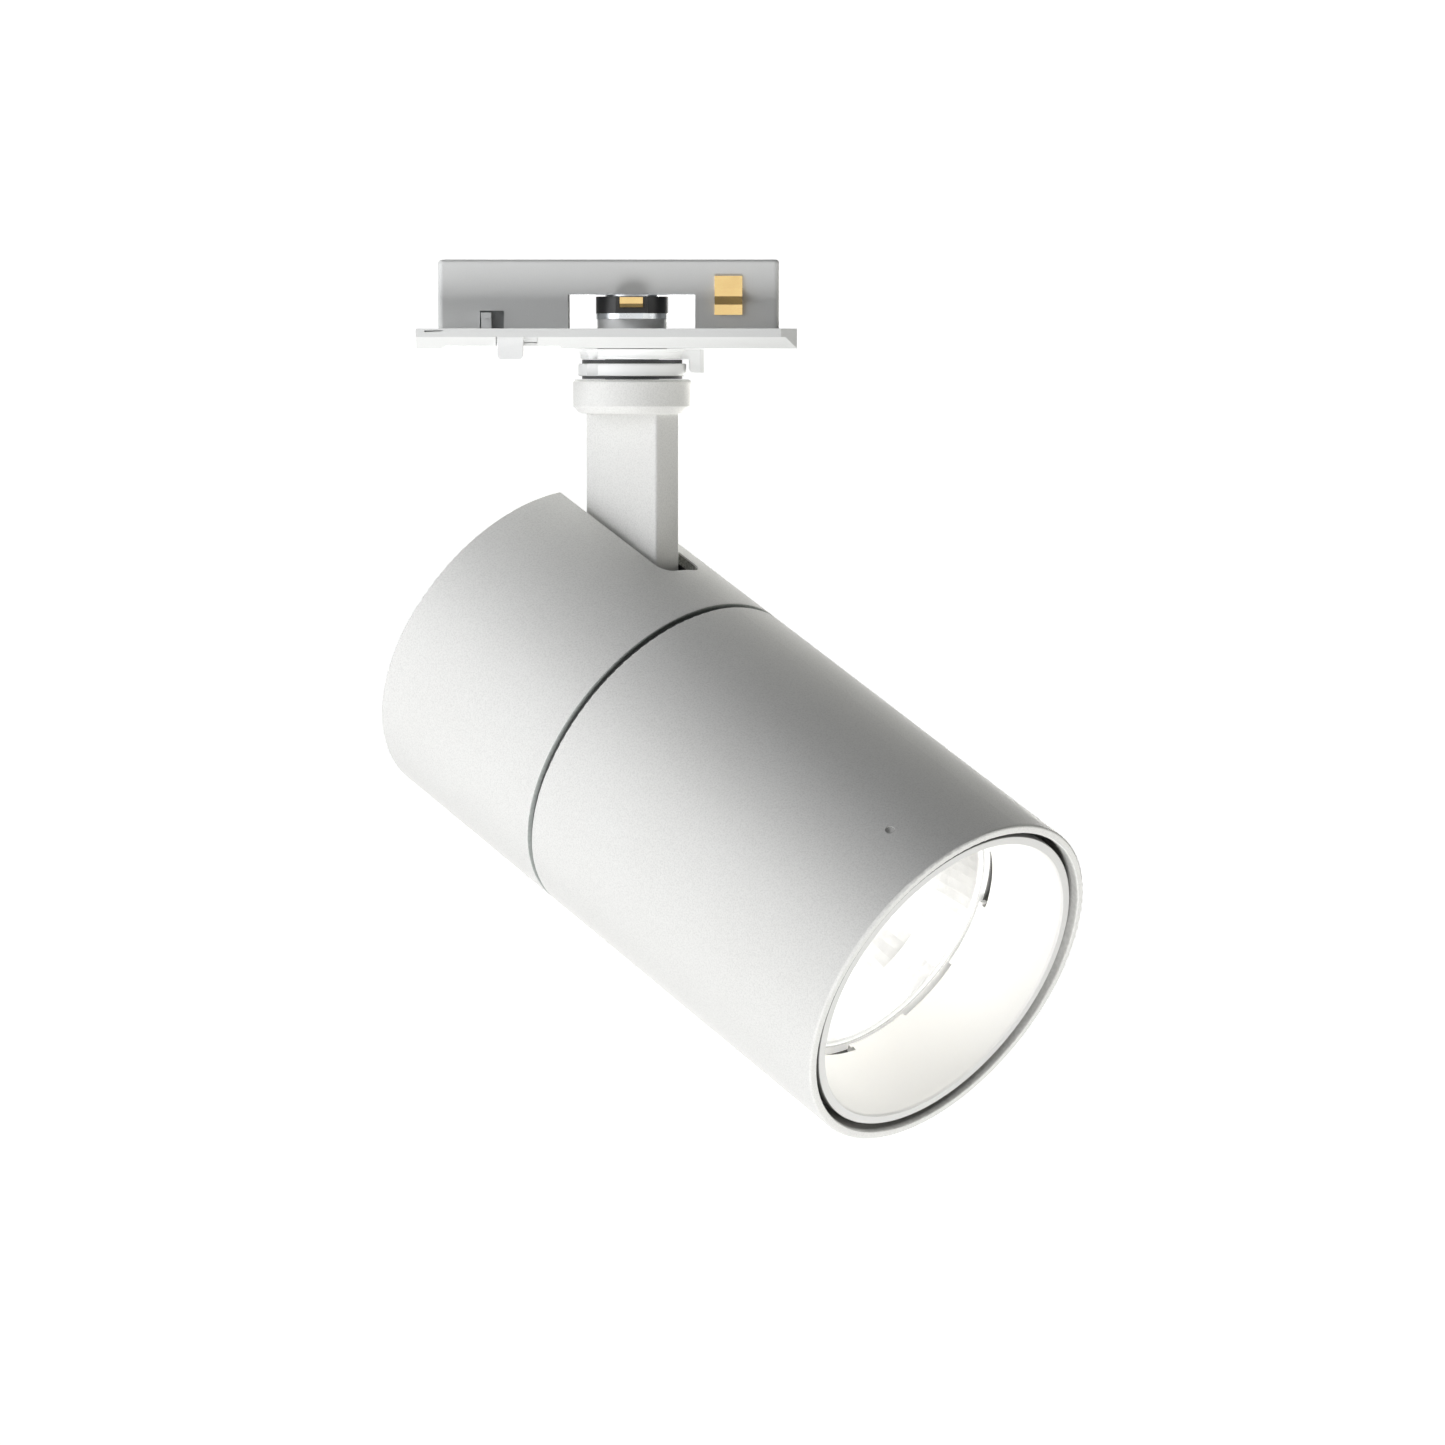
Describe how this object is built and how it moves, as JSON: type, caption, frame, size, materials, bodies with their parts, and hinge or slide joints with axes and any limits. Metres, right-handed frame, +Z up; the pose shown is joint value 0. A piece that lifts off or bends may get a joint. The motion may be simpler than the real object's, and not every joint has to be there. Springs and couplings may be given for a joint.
{
  "type": "track spotlight",
  "caption": "Cylindrical spotlight that tilts on a flat stem and pans under a plug-in adapter for a one-circuit lighting track.",
  "frame": {"origin": "on the pan axis, in the plane where the adapter's flange meets the underside of the track", "axes": "+Z up into the track, +X along the track towards the lock lever, +Y across the track away from the side the head is aimed at"},
  "size_m": [0.1514, 0.1453, 0.1864],
  "materials": {
    "adapter_plastic": "satin moulded",
    "baffle_white": "matt",
    "black_plastic": "matt",
    "black_screw": "black oxide",
    "board_green": "solder mask",
    "capacitor_sleeve": "shrink sleeve",
    "chip_ceramic": "matt",
    "chip_phosphor": "lit",
    "coated_casting": "satin powder coat",
    "coated_housing": "fine satin powder coat",
    "contact_brass": "bright",
    "dark_anodised": "dark anodised",
    "dark_washer": "matt",
    "driver_plastic": "matt",
    "friction_plastic": "natural acetal",
    "grey_plastic": "satin",
    "holder_plastic": "matt",
    "lead_sheath": "smooth",
    "lead_sheath_red": "smooth",
    "lever_plastic": "satin moulded",
    "reflector_aluminium": "bright anodised",
    "ring_plastic": "satin",
    "sink_aluminium": "as machined",
    "spring_steel": "oiled spring steel",
    "transformer_core": "ferrite",
    "zinc_steel": "zinc plated"
  },
  "bodies": {
    "adapter": {"adapter_base": "adapter_plastic", "adapter_cover": "adapter_plastic", "cover_screws": "zinc_steel", "hanger_bridge": "zinc_steel", "bridge_screws": "zinc_steel", "pan_spindle": "zinc_steel", "spindle_lock_washer": "zinc_steel", "spindle_nut": "zinc_steel", "spacer_ring": "lever_plastic", "pan_washers": "dark_washer", "terminal_block": "grey_plastic", "terminal_screws": "zinc_steel", "earth_contact": "contact_brass", "latch_spring": "spring_steel", "lead_adapter": "lead_sheath"},
    "lock": {"lock_lever": "lever_plastic", "lock_cam": "zinc_steel", "contact_carrier": "black_plastic", "line_contact": "contact_brass", "neutral_contact": "contact_brass"},
    "latch": {"latch_slider": "lever_plastic"},
    "stem": {"stem_arm": "coated_casting", "spindle_retainer": "zinc_steel", "pan_friction_washer": "friction_plastic", "pan_wave_washer": "spring_steel", "lead_stem": "lead_sheath"},
    "head": {"baffle_cone": "baffle_white", "baffle_set_screws": "coated_housing", "barrel_screws": "black_screw", "bolt_washer": "zinc_steel", "bracket_screws": "zinc_steel", "cob_board": "chip_ceramic", "cob_emitter": "chip_phosphor", "cob_holder": "holder_plastic", "driver_board": "board_green", "driver_capacitors": "capacitor_sleeve", "driver_chips": "black_plastic", "driver_lid": "driver_plastic", "driver_screws": "zinc_steel", "driver_sockets": "grey_plastic", "driver_transformer": "transformer_core", "driver_tray": "driver_plastic", "front_barrel": "coated_housing", "heat_sink": "sink_aluminium", "heat_sink_screws": "zinc_steel", "holder_screws": "zinc_steel", "housing_screws": "black_screw", "lead_clamp": "black_plastic", "lead_head": "lead_sheath", "led_lead": "lead_sheath_red", "mid_frame": "dark_anodised", "pivot_bolt": "zinc_steel", "pivot_bracket": "zinc_steel", "pivot_nut": "zinc_steel", "rear_housing": "coated_housing", "reflector": "reflector_aluminium", "reflector_ring": "ring_plastic", "ring_posts": "sink_aluminium", "tilt_spring_washer": "spring_steel", "tilt_washers": "friction_plastic"}
  },
  "joints": [
    {"name": "pan", "type": "hinge", "parent": "adapter", "child": "stem", "pos_m": [0, 0, -0.0142], "axis": [0, 0, 1], "range_deg": [-175, 175]},
    {"name": "tilt", "type": "hinge", "parent": "stem", "child": "head", "pos_m": [0, 0, -0.05646], "axis": [0.6624, 0.7491, 0], "range_deg": [-28.75, 61.24]},
    {"name": "lock_turn", "type": "hinge", "parent": "adapter", "child": "lock", "pos_m": [0, 0, -0.0055], "axis": [0, 0, 1], "range_deg": [-90, 0]},
    {"name": "latch_slide", "type": "slide", "parent": "adapter", "child": "latch", "axis": [1, 0, 0], "range_m": [0, 0.0026], "stiffness_N_per_m": 250, "springref_m": -0.002}
  ]
}
